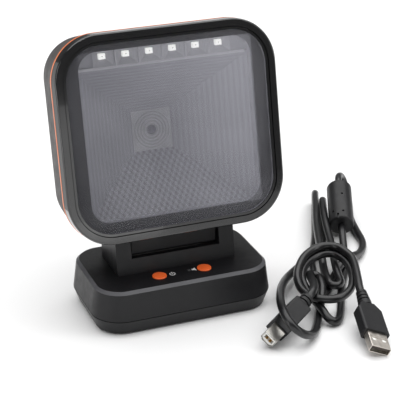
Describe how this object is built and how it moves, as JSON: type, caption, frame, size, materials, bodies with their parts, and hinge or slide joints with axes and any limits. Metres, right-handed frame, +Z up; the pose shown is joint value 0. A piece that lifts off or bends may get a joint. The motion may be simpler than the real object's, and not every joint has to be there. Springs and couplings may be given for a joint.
{
  "type": "desktop barcode scanner",
  "caption": "Presentation barcode scanner: square tilting reading head with a light tunnel behind glass, on a weighted base with push buttons, beside its coiled USB lead.",
  "frame": {"origin": "centre of the base's underside pad, on the table plane", "axes": "+Z up, -Y out of the front where the window faces, +X to the scanner's right-hand side as seen from the front"},
  "size_m": [0.2239, 0.2001, 0.1651],
  "materials": {
    "base_plastic": "fine matte texture",
    "rubber_pad": "matte",
    "steel": "plain",
    "pcb": "satin solder mask",
    "nickel": "nickel plate",
    "insulator": "satin",
    "part_black": "satin",
    "print_white": "printed ink",
    "button_orange": "satin",
    "shell_grey": "fine matte texture",
    "accent_orange": "satin gloss",
    "bezel_black": "high gloss",
    "window": "clear",
    "mask_grey": "printed border",
    "foam": "closed cell foam",
    "tunnel_grey": "satin with fine pattern",
    "led_white": "bright diffuse",
    "panel_grey": "satin",
    "lens": "coated",
    "bronze": "plain bearing",
    "acetal": "satin",
    "cable_black": "soft gloss jacket",
    "plug_black": "satin"
  },
  "bodies": {
    "base": {"base_top_housing": "base_plastic", "base_bottom_cover": "base_plastic", "anti_slip_pad": "rubber_pad", "ballast_plate": "steel", "base_screws": "steel", "base_board": "pcb", "usb_b_socket": "nickel", "usb_b_tongue": "insulator", "power_switch": "part_black", "volume_switch": "part_black", "beeper": "part_black", "base_controller": "part_black", "harness_header": "insulator", "power_icon": "print_white", "speaker_icon": "print_white", "hinge_pin_left": "steel", "hinge_pin_right": "steel", "friction_washer_left": "acetal", "friction_washer_right": "acetal"},
    "head": {"head_board": "pcb", "led_board": "pcb", "head_connector": "insulator", "image_sensor": "part_black", "lens_barrel": "part_black", "decoder_chip": "part_black", "hinge_bush_left": "bronze", "hinge_bush_right": "bronze", "head_rear_shell": "shell_grey", "neck_knuckle": "shell_grey", "accent_ring": "accent_orange", "front_bezel": "bezel_black", "window_trim": "bezel_black", "window_glass": "window", "window_mask": "mask_grey", "window_gasket": "foam", "light_tunnel": "tunnel_grey", "led_reflector": "tunnel_grey", "led_1": "led_white", "led_2": "led_white", "led_3": "led_white", "led_4": "led_white", "led_5": "led_white", "led_6": "led_white", "lens_panel": "panel_grey", "camera_lens": "lens"},
    "power_button": {"power_button_cap": "button_orange"},
    "volume_button": {"volume_button_cap": "button_orange"},
    "usb_cable": {"cable_hank": "cable_black", "cable_lead_a": "cable_black", "cable_lead_b": "cable_black", "ferrite_core": "plug_black", "usb_a_shell": "nickel", "usb_a_insert": "insulator", "usb_a_body": "plug_black", "usb_a_relief": "plug_black", "usb_b_shell": "nickel", "usb_b_insert": "insulator", "usb_b_body": "plug_black", "usb_b_relief": "plug_black"}
  },
  "joints": [
    {"name": "head_tilt", "type": "hinge", "parent": "base", "child": "head", "pos_m": [0, 0.005, 0.044], "axis": [-1, 0, 0], "range_deg": [-15, 25]},
    {"name": "power_button_press", "type": "slide", "parent": "base", "child": "power_button", "axis": [0, 0, -1], "range_m": [0, 0.0006], "stiffness_N_per_m": 900, "springref_m": -0.0005},
    {"name": "volume_button_press", "type": "slide", "parent": "base", "child": "volume_button", "axis": [0, 0, -1], "range_m": [0, 0.0006], "stiffness_N_per_m": 900, "springref_m": -0.0005},
    {"name": "cable_carry", "type": "slide", "parent": "base", "child": "usb_cable", "axis": [1, 0, 0], "range_m": [0, 0.08]}
  ]
}
